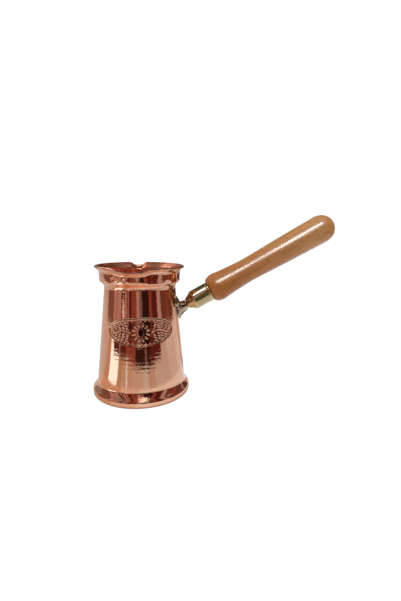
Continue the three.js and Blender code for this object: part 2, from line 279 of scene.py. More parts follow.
class Nodes:
    """A short way to add and link shader nodes."""

    def __init__(self, name):
        self.material = bpy.data.materials.new(name)
        self.material.use_nodes = True
        self.tree = self.material.node_tree
        self.shader = self.tree.nodes["Principled BSDF"]

    def add(self, kind, **settings):
        node = self.tree.nodes.new(kind)
        for key, value in settings.items():
            setattr(node, key, value)
        return node

    def link(self, source, target):
        self.tree.links.new(source, target)

    def coordinates(self):
        return self.add("ShaderNodeTexCoord").outputs["Object"]

    def mapping(self, vector, scale=(1, 1, 1), rotation=(0, 0, 0)):
        node = self.add("ShaderNodeMapping")
        node.inputs["Scale"].default_value = scale
        node.inputs["Rotation"].default_value = rotation
        self.link(vector, node.inputs["Vector"])
        return node.outputs["Vector"]

    def noise(self, vector, scale, detail=2.0, roughness=0.5):
        node = self.add("ShaderNodeTexNoise")
        node.inputs["Scale"].default_value = scale
        node.inputs["Detail"].default_value = detail
        node.inputs["Roughness"].default_value = roughness
        self.link(vector, node.inputs["Vector"])
        return node.outputs["Fac"]

    def math(self, operation, first, second=None):
        node = self.add("ShaderNodeMath", operation=operation)
        for socket, value in zip(node.inputs, (first, second)):
            if value is None:
                continue
            if isinstance(value, (int, float)):
                socket.default_value = value
            else:
                self.link(value, socket)
        return node.outputs[0]

    def ramp(self, factor, stops):
        node = self.add("ShaderNodeValToRGB")
        elements = node.color_ramp.elements
        while len(elements) < len(stops):
            elements.new(0.5)
        for element, (position, color) in zip(elements, stops):
            element.position = position
            element.color = (*color, 1)
        self.link(factor, node.inputs["Fac"])
        return node.outputs["Color"]

    def range(self, value, low, high, to_low, to_high):
        node = self.add("ShaderNodeMapRange")
        limits = {"From Min": low, "From Max": high, "To Min": to_low, "To Max": to_high}
        for key, number in limits.items():
            node.inputs[key].default_value = number
        self.link(value, node.inputs["Value"])
        return node.outputs["Result"]

    def mix(self, factor, one, two):
        node = self.add("ShaderNodeMix", data_type="RGBA")
        self.link(factor, node.inputs["Factor"])
        for socket, value in ((node.inputs[6], one), (node.inputs[7], two)):
            if isinstance(value, tuple):
                socket.default_value = (*value, 1)
            else:
                self.link(value, socket)
        return node.outputs[2]

    def bump(self, height, strength, distance, under=None):
        node = self.add("ShaderNodeBump")
        node.inputs["Strength"].default_value = strength
        node.inputs["Distance"].default_value = distance
        self.link(height, node.inputs["Height"])
        if under is not None:
            self.link(under, node.inputs["Normal"])
        return node.outputs["Normal"]

    def set(self, **values):
        for key, value in values.items():
            socket = self.shader.inputs[key.replace("_", " ")]
            if hasattr(value, "is_linked"):
                self.link(value, socket)
            else:
                socket.default_value = value


def round_the_axis(nodes, about, along):
    """Coordinates that change slowly round the Z axis and quickly up it, for turned marks."""
    split = nodes.add("ShaderNodeSeparateXYZ")
    nodes.link(nodes.coordinates(), split.inputs[0])
    x, y, z = split.outputs
    squares = nodes.math("ADD", nodes.math("MULTIPLY", x, x), nodes.math("MULTIPLY", y, y))
    radius = nodes.math("MAXIMUM", nodes.math("SQRT", squares), 1e-5)
    join = nodes.add("ShaderNodeCombineXYZ")
    nodes.link(nodes.math("MULTIPLY", nodes.math("DIVIDE", x, radius), about), join.inputs[0])
    nodes.link(nodes.math("MULTIPLY", nodes.math("DIVIDE", y, radius), about), join.inputs[1])
    nodes.link(nodes.math("MULTIPLY", z, along), join.inputs[2])
    return join.outputs[0]


# ---------- materials ----------


def copper_material():
    """Spun and polished copper: fine marks round the axis, soft tarnish clouds, recesses darkened
    partly by tarnish and partly by painted shade.
    """
    nodes = Nodes("copper")
    ringed = round_the_axis(nodes, 0.6, 900.0)
    spin = nodes.noise(ringed, 1.0, 3.0, 0.6)
    clouds = nodes.noise(nodes.coordinates(), 55.0, 4.0, 0.55)
    colour = nodes.ramp(clouds, [
        (0.30, (0.86, 0.42, 0.26)),
        (0.52, (0.90, 0.465, 0.295)),
        (0.75, (0.92, 0.50, 0.33)),
    ])
    streaked = nodes.mix(nodes.range(spin, 0.35, 0.65, 0.0, 0.22), colour, (0.80, 0.38, 0.24))
    # recesses darken partly as tarnish and partly as painted shade; the deepest, the sunken almond in
    # the middle, goes near-black as a painted reflection of a dark thing in front
    recess = nodes.add("ShaderNodeAttribute", attribute_name="recess").outputs["Fac"]
    spots = nodes.noise(nodes.coordinates(), 420.0, 3.0, 0.6)
    patches = nodes.range(spots, 0.42, 0.58, 0.0, 0.95)
    deep = nodes.math("POWER", recess, 3.0)
    spotted = nodes.math("ADD", nodes.math("MULTIPLY", recess, patches), deep)
    tarnish_and_painted_shade = nodes.math("MINIMUM", spotted, 0.97)
    # worn: the colour with the tarnish and the painted shade mixed into the recesses
    worn = nodes.mix(tarnish_and_painted_shade, streaked, (0.045, 0.012, 0.009))
    rough = nodes.range(spin, 0.3, 0.7, 0.05, 0.10)
    smudge = nodes.range(nodes.noise(nodes.coordinates(), 140.0, 5.0, 0.6), 0.5, 0.8, 0.0, 0.07)
    dull = nodes.math("MULTIPLY", recess, 0.12)
    nodes.set(
        Base_Color=worn,
        Metallic=1.0,
        Roughness=nodes.math("ADD", nodes.math("ADD", rough, smudge), dull),
    )
    rings = nodes.bump(spin, 0.10, 0.00012)
    chatter = round_the_axis(nodes, 14.0, 800.0)
    marks = nodes.bump(nodes.noise(chatter, 1.0, 2.0), 0.6, 0.00006, rings)
    nodes.set(Normal=marks)
    return nodes.material


def copper_inside_material():
    """The inside: the same copper, left satin from the lathe, a little redder, and darker as painted
    shade inside the pot.
    """
    nodes = Nodes("copper_inside")
    ringed = round_the_axis(nodes, 0.8, 1500.0)
    spin = nodes.noise(ringed, 1.0, 4.0, 0.6)
    clouds = nodes.noise(nodes.coordinates(), 90.0, 4.0, 0.6)
    # tones redder than the outside's, and darker as painted shade inside the pot
    colour = nodes.ramp(clouds, [
        (0.30, (0.72, 0.27, 0.16)),
        (0.55, (0.80, 0.33, 0.20)),
        (0.78, (0.86, 0.40, 0.25)),
    ])
    nodes.set(
        Base_Color=nodes.mix(nodes.range(spin, 0.3, 0.7, 0.0, 0.3), colour, (0.60, 0.21, 0.12)),
        Metallic=1.0,
        Roughness=nodes.range(spin, 0.3, 0.7, 0.22, 0.32),
        Normal=nodes.bump(spin, 0.15, 0.0001),
    )
    return nodes.material


def brass_material(name, light, dark, rough, grain):
    """Polished brass with a faint cloudy tone and a fine bump: more grain is a finer one."""
    nodes = Nodes(name)
    clouds = nodes.noise(nodes.coordinates(), 180.0, 4.0, 0.6)
    colour = nodes.mix(nodes.range(clouds, 0.35, 0.7, 0.0, 1.0), dark, light)
    fine = nodes.noise(nodes.coordinates(), grain, 3.0, 0.6)
    nodes.set(
        Base_Color=colour,
        Metallic=1.0,
        Roughness=nodes.range(fine, 0.3, 0.7, rough * 0.8, rough * 1.4),
        Normal=nodes.bump(fine, 0.06, 0.0002),
    )
    return nodes.material


def steel_material():
    """Zinc-plated steel, slightly mottled."""
    nodes = Nodes("plated_steel")
    mottle = nodes.noise(nodes.coordinates(), 700.0, 3.0, 0.6)
    colour = nodes.mix(mottle, (0.46, 0.47, 0.48), (0.66, 0.67, 0.69))
    nodes.set(Base_Color=colour, Metallic=1.0, Roughness=nodes.range(mottle, 0.3, 0.7, 0.22, 0.36))
    return nodes.material


def beech_material():
    """Varnished beech: growth bands along the grip, paler at its end partly as painted light, fine
    fibres, short dark rays.
    """
    nodes = Nodes("varnished_beech")
    grain = nodes.mapping(nodes.coordinates(), rotation=(0, math.radians(HANDLE_RISE), 0))
    bands = nodes.noise(nodes.mapping(grain, (6, 90, 60)), 1.0, 3.0, 0.55)
    fibres = nodes.noise(nodes.mapping(grain, (45, 1500, 1500)), 1.0, 3.0, 0.65)
    rays = nodes.noise(nodes.mapping(grain, (420, 4200, 1900)), 1.0, 1.0, 0.4)
    colour = nodes.ramp(bands, [
        (0.30, (0.51, 0.174, 0.032)),
        (0.50, (0.63, 0.220, 0.044)),
        (0.72, (0.74, 0.285, 0.066)),
    ])
    split = nodes.add("ShaderNodeSeparateXYZ")
    nodes.link(grain, split.inputs[0])
    # paler towards the grip's end: partly the wood's own tone, partly painted light
    towards_end = nodes.range(split.outputs[0], 0.09, 0.155, 0.0, 0.70)
    paler_end_and_painted_light = nodes.mix(towards_end, colour, (0.90, 0.47, 0.18))
    fibred = nodes.mix(nodes.range(fibres, 0.4, 0.7, 0.0, 0.48), paler_end_and_painted_light, (0.36, 0.115, 0.030))
    flecked = nodes.mix(nodes.range(rays, 0.62, 0.71, 0.0, 0.65), fibred, (0.26, 0.080, 0.020))
    nodes.set(
        Base_Color=flecked,
        Roughness=nodes.range(fibres, 0.3, 0.7, 0.34, 0.46),
        Specular_IOR_Level=0.1,
        Normal=nodes.bump(fibres, 0.06, 0.00005),
        Coat_Weight=1.0,
        Coat_Roughness=0.21,
        Coat_IOR=1.36,
    )
    return nodes.material


def dress(piece, material, body, slot, *replaced):
    """Gives a piece its material and ties it to the frame."""
    piece.data.materials.clear()
    piece.data.materials.append(material)
    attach(piece, body)
    if replaced:
        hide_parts(*replaced)
    return piece


# ---------- pot ----------


def pot_outline():
    """Closed outline of the copper shell: underside, outside, lip, inside."""
    radius, height = BASE_HOLLOW
    foot = Outline(0, height).line(radius, height, FLAT_STEP)
    foot.curve((24.6, 0.5), (24.9, 0), (FOOT_FLAT, 0), 6)
    shell = Outline().arc((FOOT_RADIUS - FOOT_ROUND, FOOT_ROUND), FOOT_ROUND, -90, 0, 8)
    shell.line(FOOT_RADIUS, FOOT_TOP, FOOT_STEP)
    shell.curve((FOOT_RADIUS, 4.9), (30.45, 6.2), CONE_LOW, 24)
    shell.line(*on_cone(STAMP_BAND[0]), MESH_STEP).line(*on_cone(STAMP_BAND[1]), STAMP_STEP)
    shell.line(*CONE_HIGH, MESH_STEP).line(*NECK, MESH_STEP)
    shell.curve((NECK[0], 74.9), (24.5, 75.6), SHOULDER, 14)
    shell.curve((26.2, 76.85), (26.55, 77.2), COLLAR_FOOT, 8)
    shell.curve((26.8, 78.8), (26.78, 82.0), COLLAR_TOP, 14)
    shell.curve((26.95, 84.4), (27.9, 85.3), LIP_START, 12)
    bead = Outline().arc((LIP_RADIUS - 0.9, POT_HEIGHT - 0.85), BEAD, -42, 205, 16)
    inside = [place for place in inset(shell.points, WALL)[::-1] if place[1] < INSIDE_TOP]
    bottom = Outline(*inside[-1]).line(0, INSIDE_FLOOR, FLAT_STEP)
    return foot.points + shell.points + bead.points + inside + bottom.points[1:]


def on_cone(height):
    """The place on the cone's outside at a height."""
    share = (height - CONE_LOW[1]) / (CONE_HIGH[1] - CONE_LOW[1])
    return CONE_LOW[0] + (CONE_HIGH[0] - CONE_LOW[0]) * share, height


def pot_angles():
    """Directions round the pot, close together where the stamp is."""
    fine = np.linspace(-STAMP_REACH, STAMP_REACH, 261)
    coarse = np.linspace(STAMP_REACH, 360 - STAMP_REACH, 206)[1:-1]
    return STAMP_AZIMUTH + np.concatenate([fine, coarse])


def band(height, start, full, fading, end):
    """A share that grows from 0 at start to 1 at full, and falls from 1 at fading to 0 at end."""
    return smoothstep(height, start, full) * (1 - smoothstep(height, fading, end))


def hand_work(azimuth, height):
    """Unevenness in millimetres that pressing the spouts by hand left in collar and lip."""
    turn = np.radians(azimuth)
    swell = 0.060 * np.sin(7 * turn + 0.6) * np.sin(0.9 * height + 2.0 * np.sin(3 * turn))
    ripple = 0.030 * np.sin(15 * turn + 0.8 * height) + 0.018 * np.sin(26 * turn - 1.5 * height)
    return band(height, *HAND_WORK) * (swell + ripple)


def press_spouts(grid):
    """Two spouts pressed out of lip and collar: the wall bulges and the lip dips."""
    x, y, z = grid[..., 0], grid[..., 1], grid[..., 2]
    azimuth = np.degrees(np.arctan2(y, x))
    height = z / MM
    throat = smoothstep(height, *THROAT) * THROAT_SHARE
    throat += smoothstep(height, BULGE_START, POT_HEIGHT) * (1 - THROAT_SHARE)
    for centre, clockwise, other_way, out, drop in SPOUTS:
        away = (azimuth - centre + 180) % 360 - 180
        away = np.abs(np.where(away < 0, away / clockwise, away / other_way))
        share = 1 - smoothstep(away, SPOUT_FLOOR, 1)
        radius = np.maximum(np.hypot(x, y), TINY)
        grown = 1 + out * MM * share * throat / radius
        x, y = x * grown, y * grown
        z = z - drop * MM * share * smoothstep(height, COLLAR_TOP[1] - 2, POT_HEIGHT)
    return np.stack([x, y, z], axis=-1)


def boss(u, v, centre, half, turn=0.0):
    """A flat-topped boss of height 1: an ellipse of half sizes half, turned by turn degrees."""
    c, s = math.cos(math.radians(turn)), math.sin(math.radians(turn))
    du, dv = u - centre[0], v - centre[1]
    along = (c * du + s * dv) / half[0]
    across = (-s * du + c * dv) / half[1]
    return smoothstep(1 - np.hypot(along, across), 0.0, 0.45)


def inside_outline(u, v):
    """Distance inside the stamp's oval outline, in millimetres."""
    share = np.maximum(np.hypot(u / STAMP_HALF[0], v / STAMP_HALF[1]), TINY)
    steepness = np.hypot(u / STAMP_HALF[0] ** 2, v / STAMP_HALF[1] ** 2) / share
    return (1 - share) / np.maximum(steepness, TINY)


def round_oval(count, half, offset=0.0):
    """Directions in degrees and places, evenly spread round an oval."""
    for i in range(count):
        turn = 360 * (i + offset) / count
        angle = math.radians(turn)
        yield turn, (half[0] * math.cos(angle), half[1] * math.sin(angle))


def rosette(u, v):
    """A ring of petals round the middle."""
    height = np.zeros_like(u)
    for turn, place in round_oval(PETALS, PETAL_RING, 0.5):
        height = np.maximum(height, boss(u, v, place, PETAL_HALF, turn))
    return height


def sprig(u, v, side):
    """A waving stem between rows of leaves, to one side of the rosette."""
    pitch, wave = STEM_WAVE
    reach = side * u - STEM_START
    middle = wave * np.sin(reach / pitch)
    on_stem = (reach > -0.6) & (reach < STEM_LENGTH)
    height = np.where(on_stem, smoothstep(0.45 - np.abs(v - middle), 0.0, 0.25), 0)
    for along in 0.7 + pitch * np.arange(LEAVES):
        share = (STEM_START + along) / STAMP_HALF[0]
        room = STAMP_HALF[1] * math.sqrt(max(0.0, 1 - share**2)) - 1.5
        for up, step in itertools.product((-1, 1), LEAF_ROWS):
            rise = up * (0.1 + LEAF_GAP * step) + wave * math.sin(along / pitch)
            if abs(rise) > room:
                continue
            place = (side * (STEM_START + along + 0.5 * step), rise)
            leaf = boss(u, v, place, LEAF_HALF, side * up * (64 - 15 * step))
            height = np.maximum(height, leaf)
    return height


def ridge(distance, place):
    """A soft line of height 1 at a distance inside the outline, with a width."""
    return np.exp(-(((distance - place[0]) / place[1]) ** 2))


def stamp_relief(u, v):
    """Height of the ornament, from -1 to 1: a grooved oval frame round leaves on sunken ground."""
    inside = inside_outline(u, v)
    figures = np.maximum(rosette(u, v), np.maximum(sprig(u, v, -1), sprig(u, v, 1)))
    for _, place in round_oval(BEADS, [half - BEAD_INSET for half in STAMP_HALF]):
        figures = np.maximum(figures, 0.8 * boss(u, v, place, (0.5, 0.5)))
    height = smoothstep(inside, *GROUND_EDGE) * (0.75 * figures - 0.35)
    height -= 0.65 * boss(u, v, (0, 0), ALMOND_HALF)
    height += 0.5 * ridge(inside, RAISED_LINE) - ridge(inside, GROOVE)
    return np.clip(height, -1, 1)


def on_stamp(x, y, height, slack):
    """For places in millimetres: how far along and up the wall they are from the stamp's middle,
    whether the stamp's relief reaches them, and whether they are within slack of the cone."""
    radius = np.hypot(x, y)
    azimuth = np.degrees(np.arctan2(y, x))
    u = np.radians((azimuth - STAMP_AZIMUTH + 180) % 360 - 180) * radius
    v = height - STAMP_HEIGHT
    outside = np.abs(radius - on_cone(height)[0]) < slack
    near = outside & (np.hypot(u / STAMP_HALF[0], v / STAMP_HALF[1]) < STAMP_MARGIN)
    return u, v, near, outside


def shape_pot(grid):
    """Faint spinning rings, the stamped ornament on the outside, then the spouts."""
    x, y, height = (grid[..., k] / MM for k in range(3))
    u, v, near, outside = on_stamp(x, y, height, 0.3)
    relief = np.zeros_like(height)
    relief[near] = STAMP_RELIEF * stamp_relief(u[near], v[near])
    turn = 2 * np.pi * height / SPIN_PITCH
    start, worn, taken = SPIN_WORN
    left = SPIN_DEPTH * (1 - taken * smoothstep(height, start, worn)) * band(height, *SPIN_BAND)
    rings = left * (np.sin(turn) + 0.3 * np.sin(2 * turn + 1.0))
    azimuth = np.degrees(np.arctan2(y, x))
    uneven = np.where(height > COLLAR_FOOT[1] - 2, hand_work(azimuth, height), 0)
    out = np.where(outside, rings + relief, 0) + uneven
    shaped = grid.copy()
    shaped[..., :2] *= (1 + out / np.maximum(np.hypot(x, y), TINY))[..., None]
    return press_spouts(shaped)


def mark_recesses(pot):
    """Stores how deep each point lies in the ornament's grooves, for the dark in them: tarnish,
    painted shade, and in the sunken almond a painted reflection.
    """
    points = np.array([vertex.co[:] for vertex in pot.data.vertices]) / MM
    u, v, near, _ = on_stamp(*points.T, 0.5)
    recess = np.zeros(len(points))
    recess[near] = smoothstep(-stamp_relief(u[near], v[near]), 0.0, 0.7)
    layer = pot.data.attributes.new("recess", "FLOAT", "POINT")
    layer.data.foreach_set("value", recess)


def make_pot(copper, inside):
    """The spun shell, with its outside in one material and its inside in another."""
    pot = turned("copper_pot", pot_outline(), pot_angles(), shape_pot)
    mark_recesses(pot)
    dress(pot, copper, "pot", "copper", "pot_body")
    pot.data.materials.append(inside)
    for face in pot.data.polygons:
        inward = face.normal.xy.dot(face.center.xy) < 0
        in_middle = face.center.xy.length < INSIDE_REACH * MM
        face.material_index = int((inward or in_middle) and face.center.z > UNDERSIDE_TOP * MM)


# ---------- bracket, rivets, stud ----------


def make_bracket(brass):
    """The cast bracket: its solid with every edge softened as casting and polishing leave it."""
    source = frame["nodes"]["handle_bracket"]
    bracket = bpy.data.objects.new("cast_bracket", source.data.copy())
    bpy.context.scene.collection.objects.link(bracket)
    weld = bracket.modifiers.new("weld", "WELD")
    weld.merge_threshold = TINY
    remesh = bracket.modifiers.new("voxels", "REMESH")
    remesh.mode = "VOXEL"
    remesh.voxel_size = VOXEL * MM
    soften = bracket.modifiers.new("soften", "SMOOTH")
    soften.factor, soften.iterations = SMOOTHING
    evaluated = bracket.evaluated_get(bpy.context.evaluated_depsgraph_get())
    settled = bpy.data.meshes.new_from_object(evaluated)
    bracket.modifiers.clear()
    bracket.data = settled
    settled.polygons.foreach_set("use_smooth", [True] * len(settled.polygons))
    return dress(bracket, brass, "pot", "cast_brass", "handle_bracket")


def make_rivet(node, brass):
    """A domed rivet standing where the frame's rivet does."""
    side = 1 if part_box(node)[0].y > 0 else -1
    azimuth = math.radians(RIVET_AZIMUTH * side)
    slope = (CONE_LOW[0] - CONE_HIGH[0]) / (CONE_HIGH[1] - CONE_LOW[1])
    outward = Vector((math.cos(azimuth), math.sin(azimuth), slope)).normalized()
    radius = on_cone(RIVET_HEIGHT)[0]
    foot = Vector((radius * math.cos(azimuth), radius * math.sin(azimuth), RIVET_HEIGHT)) * MM
    tail, seat = -WALL - RIVET_TAIL, RIVET_SEAT
    dome = Outline(0, tail).line(1.7, tail, 0.3)
    dome.curve((2.1, tail + 0.05), (2.1, -WALL - 0.3), (2.0, -WALL), 5)
    dome.line(RIVET_SHANK, -WALL).line(RIVET_SHANK, seat).line(1.75, seat)
    dome.curve((1.85, seat + 0.15), (1.75, seat + 0.45), (1.4, seat + 0.68), 6)
    dome.curve((0.9, seat + 0.95), (0.4, seat + 1.0), (0, seat + 1.0), 6)
    rivet = turned("domed_" + node, dome.points, even(32))
    turn = outward.to_track_quat("Z", "Y").to_matrix().to_4x4()
    rivet.data.transform(Matrix.Translation(foot) @ turn)
    return dress(rivet, brass, "pot", "cast_brass", node)


def make_stud(steel):
    """The M4 stud, with its thread cut as a real helix."""
    start, end = STUD
    chamfer, tip = STUD_CHAMFER
    core, crest, pitch = THREAD
    rows = np.arange(start + chamfer, end - chamfer, pitch / 10)
    outline = [(0, start), (tip, start)] + [(crest, t) for t in rows] + [(tip, end), (0, end)]

    def cut(grid):
        height = grid[..., 2] / MM
        radius = np.hypot(grid[..., 0], grid[..., 1]) / MM
        turn = np.arctan2(grid[..., 1], grid[..., 0]) / (2 * np.pi)
        tooth = np.abs(((height / pitch - turn) % 1) * 2 - 1)
        profile = core + (crest - core) * np.clip(1.25 * tooth, 0, 1)
        threaded = np.where(radius > (tip + core) / 2, profile, radius)
        out = grid.copy()
        out[..., :2] *= (threaded / np.maximum(radius, TINY))[..., None]
        return out

    stud = stand_on_handle(turned("threaded_rod", outline, even(40), cut))
    return dress(stud, steel, "pot", "steel", "threaded_stud")


# ---------- ferrule and grip ----------


def make_ferrule(brass):
    """A turned sleeve: a small collar, a cone with a soft shoulder, a fine bead at the back."""
    front, shoulder, back = FERRULE
    r, nose = FERRULE_RADIUS, FERRULE_NOSE
    outline = Outline(HANDLE_BORE, front).line(nose - 0.55, front)
    outline.curve((nose - 0.3, front), (nose - 0.15, front + 0.1), (nose, front + 0.35), 5)
    outline.line(r - 1.15, shoulder - 1.0, 0.5)
    outline.curve((r - 0.3, shoulder - 0.15), (r, shoulder + 0.3), (r, shoulder + 1.3), 10)
    outline.line(r, back - 1.3, 0.8)
    outline.curve((r, back - 1.15), (r - 0.12, back - 1.1), (r - 0.12, back - 1.0), 4)
    outline.curve((r - 0.12, back - 0.9), (r, back - 0.85), (r, back - 0.7), 4)
    outline.line(r, back - 0.3).curve((r, back - 0.1), (r - 0.1, back), (r - 0.3, back), 4)
    outline.line(r - FERRULE_WALL, back).line(r - FERRULE_WALL, shoulder + 1.2, 2.0)
    outline.line(HANDLE_BORE, front + 1.6)
    ferrule = ring_solid("turned_ferrule", outline.points)
    return dress(ferrule, brass, "ferrule", "turned_brass", "ferrule")


def ring_solid(name, outline, count=96):
    """A turned solid whose outline closes on itself, put on the handle's axis."""
    rows = np.array(outline) * MM
    turn = np.radians(even(count))
    vertices = [(r * math.cos(a), r * math.sin(a), t) for r, t in rows for a in turn]
    faces = []
    for i in range(len(rows)):
        below, above = i * count, (i + 1) % len(rows) * count
        for j in range(count):
            k = (j + 1) % count
            faces.append((below + j, below + k, above + k, above + j))
    return stand_on_handle(new_object(name, vertices, faces))


def through(points, count):
    """A smooth curve through points (Catmull-Rom), with count steps between neighbours."""
    path = np.array([points[0], *points, points[-1]])
    steps = np.arange(count)[:, None] / count
    out = []
    for p, q, r, s in zip(path, path[1:], path[2:], path[3:]):
        square, cube = 2 * p - 5 * q + 4 * r - s, 3 * q - p - 3 * r + s
        out += list(0.5 * (2 * q + (r - p) * steps + square * steps**2 + cube * steps**3))
    return [tuple(place) for place in out] + [points[-1]]


def quarter(count):
    """Angles in radians from just above 0 to just below a quarter turn, count - 1 of them."""
    return [math.pi / 2 * i / count for i in range(1, count)]


def grip_bore():
    """Outline from the blind end of the drilled hole, past the insert, out along the spigot."""
    seat, seat_start, seat_end = INSERT_SEAT
    spigot, spigot_end, chamfer = SPIGOT
    bore = Outline(0, BORE_END[1]).line(HANDLE_BORE, BORE_END[0]).line(HANDLE_BORE, seat_end)
    bore.line(seat, seat_end).line(seat, seat_start).line(HANDLE_BORE, seat_start)
    bore.line(HANDLE_BORE, spigot_end).line(spigot - chamfer, spigot_end)
    bore.line(spigot, spigot_end + chamfer).line(spigot, GRIP_START)
    return bore.line(GRIP_FRONT - 0.25, GRIP_START)


def make_grip(beech):
    """One turned piece: a rounded front, a waist, a rounded end."""
    outline = grip_bore().points
    radius, at = GRIP_WAIST[0]
    for turn in [*quarter(16), math.pi / 2]:
        out = GRIP_FRONT + (radius - GRIP_FRONT) * math.sin(turn)
        outline.append((out, at - (at - GRIP_START) * math.cos(turn)))
    outline += through(GRIP_WAIST, 14)[1:]
    radius, at = GRIP_WAIST[-1]
    power = 2 / GRIP_SQUARENESS
    for turn in quarter(24):
        end = at + (GRIP_END - at) * math.sin(turn) ** power
        outline.append((radius * math.cos(turn) ** power, end))
    outline.append((0, GRIP_END))
    grip = stand_on_handle(turned("beech_grip", outline, even(96)))
    return dress(grip, beech, "handle", "beech", "wooden_grip")


# ---------- studio ----------


def glow(name, colour, strength):
    """A material that only gives out light."""
    nodes = Nodes(name)
    light = nodes.add("ShaderNodeEmission")
    light.inputs["Color"].default_value = (*colour, 1)
    light.inputs["Strength"].default_value = strength
    nodes.link(light.outputs[0], nodes.tree.nodes["Material Output"].inputs["Surface"])
    return nodes.material


def card(name, corners, colour, strength=1.0):
    """A panel that only reflections see: bright as a lamp or dark as a flag."""
    panel = new_object(name, [tuple(corner) for corner in corners], [(0, 1, 2, 3)])
    panel.data.materials.append(glow(name, colour, strength))
    panel.visible_camera = False
    panel.visible_diffuse = False
    panel.visible_shadow = False
    panel.visible_transmission = False
    return panel


# the camera: angles in degrees, lengths in metres, the lens in millimetres
CAMERA_AZIMUTH = -2.5
CAMERA_DISTANCE = 229.8 * MM
CAMERA_HEIGHT = 105.7 * MM
CAMERA_TURN = 7.82
CAMERA_TILT = 10.54
CAMERA_ROLL = -0.74
CAMERA_LENS = 20.05


def around(angle, distance, height=0.0):
    """A place round the pot: angle in degrees from the camera's side, positive to the right."""
    turn = math.radians(angle - 90 - CAMERA_AZIMUTH)
    return Vector((distance * math.cos(turn), distance * math.sin(turn), height))


WINE = (0.244, 0.068, 0.047)
DEEP_WINE = (0.095, 0.017, 0.015)
BLACK = (0.030, 0.010, 0.010)
BROWN = (0.150, 0.060, 0.040)
UMBER = (0.22, 0.115, 0.094)
ROSE = (0.48, 0.32, 0.32)
TAUPE = (0.23, 0.15, 0.14)
PALE = (0.45, 0.37, 0.37)
DUSK = (0.34, 0.20, 0.20)

# the dim room in front of the pot, from the left: where each upright starts, and its tone
ROOM = [
    (-111, UMBER),
    (-84, ROSE),
    (-75, DUSK),
    (-71, ROSE),
    (-57.5, BLACK),
    (-53, TAUPE),
    (-49, DEEP_WINE),
    (-45.5, PALE),
    (-41, WINE),
    (-36, ROSE),
    (-33.5, DEEP_WINE),
    (-26, WINE),
    (-11, PALE),
    (-5, TAUPE),
    (3, BLACK),
    (23, WINE),
    (31, DEEP_WINE),
    (48, PALE),
    (60, BROWN),
    (82, WINE),
    (90, BROWN),
    (110, None),
]
ROOM_TOP = 0.32
ROOM_REACH = 0.42
TABLE_EDGE = 0.163
TABLE_TURN = 4  # direction from the pot square to the table's front edge, in degrees


def room_distance(angle):
    """The table's front edge is straight and near, its sides are further off."""
    ahead = math.cos(math.radians(angle - TABLE_TURN))
    return min(TABLE_EDGE / ahead, ROOM_REACH) if ahead > 0.1 else ROOM_REACH


# tones of the table as the cone shows it, from the left
TABLE = [
    (-125, (0.62, 0.60, 0.58)),
    (-98, (0.54, 0.42, 0.32)),
    (-84, (0.50, 0.38, 0.27)),
    (-60, (0.47, 0.38, 0.28)),
    (-47, (0.56, 0.49, 0.42)),
    (-22, (0.57, 0.54, 0.50)),
    (2, (0.63, 0.62, 0.60)),
    (14, (0.50, 0.46, 0.42)),
    (30, (0.56, 0.59, 0.61)),
    (70, (0.62, 0.68, 0.74)),
    (100, (0.72, 0.78, 0.84)),
    (126, (0.42, 0.34, 0.28)),
    (165, None),
]
TABLE_REACH = (0.075, 0.40)
NEAR_TABLE = [
    (-130, (0.66, 0.60, 0.55)),
    (-96, (0.62, 0.46, 0.34)),
    (-42, (0.76, 0.74, 0.70)),
    (-8, (0.84, 0.92, 0.97)),
    (36, (0.78, 0.86, 0.92)),
    (126, (0.30, 0.22, 0.18)),
    (150, None),
]
NEAR_REACH = (0.036, 0.075)

# dark things that stand low on the table in front of the pot
LOW_TABLE = [
    (-76, DEEP_WINE),
    (-58, None),
    (-56, DEEP_WINE),
    (-40, WINE),
    (-15, BLACK),
    (8, TAUPE),
    (12, BLACK),
    (20, DEEP_WINE),
    (50, None),
]
LOW_HEIGHT = 0.024
LOW_REACH = 0.20

# a pale low board behind on the right, which lightens the right end of the foot
BOARD = [(118, (0.60, 0.52, 0.46)), (165, None)]
BOARD_DISTANCE = 0.085
BOARD_HEIGHT = 0.045

FLOOR_HALF = 3.0
FLOOR_LEVEL = -0.1 * MM
TABLE_LEVEL = 0.2 * MM
WINDOW_LEVEL = 0.4 * MM

# light that lies on the table in wedges: directions of their far and near corners, brightness
WINDOW_WEDGES = [
    ((-86, -80, -56, -60), 1.9),
    ((-40, -34, -31, -36), 1.1),
    ((5, 5, 9, 9), 0.7),
]
WINDOW_TINT = (0.72, 0.96, 1.16)
WEDGE_REACH = (0.075, 0.30)

CARD_SPREAD = 9  # degrees that one card of a run takes up, about


def fan(tones, place):
    """Cards side by side round the pot: place gives the corners between two directions."""
    for (start, tone), (end, _) in zip(tones, tones[1:]):
        if tone is None:
            continue
        steps = max(1, round((end - start) / CARD_SPREAD))
        for i in range(steps):
            a = start + (end - start) * i / steps
            b = start + (end - start) * (i + 1) / steps
            card("room", place(a, b), tone)


def lying(reach, height):
    """Corners of a card that lies at a height, from one distance to another."""
    near, far = reach
    return lambda a, b: [
        around(a, far, height),
        around(a, near, height),
        around(b, near, height),
        around(b, far, height),
    ]


def standing(distance, top, bottom=0.0):
    """Corners of a card that stands at the distance given for each direction."""
    return lambda a, b: [
        around(a, distance(a), bottom),
        around(b, distance(b), bottom),
        around(b, distance(b), top),
        around(a, distance(a), top),
    ]


def upright(x, y, height):
    """Corners of an oblong card that stands on the floor, square to the Y axis."""
    return [(x[0], y, 0), (x[1], y, 0), (x[1], y, height), (x[0], y, height)]


def flat(x, y, height):
    """Corners of an oblong card that lies at a height."""
    return [(x[0], y[0], height), (x[1], y[0], height), (x[1], y[1], height), (x[0], y[1], height)]


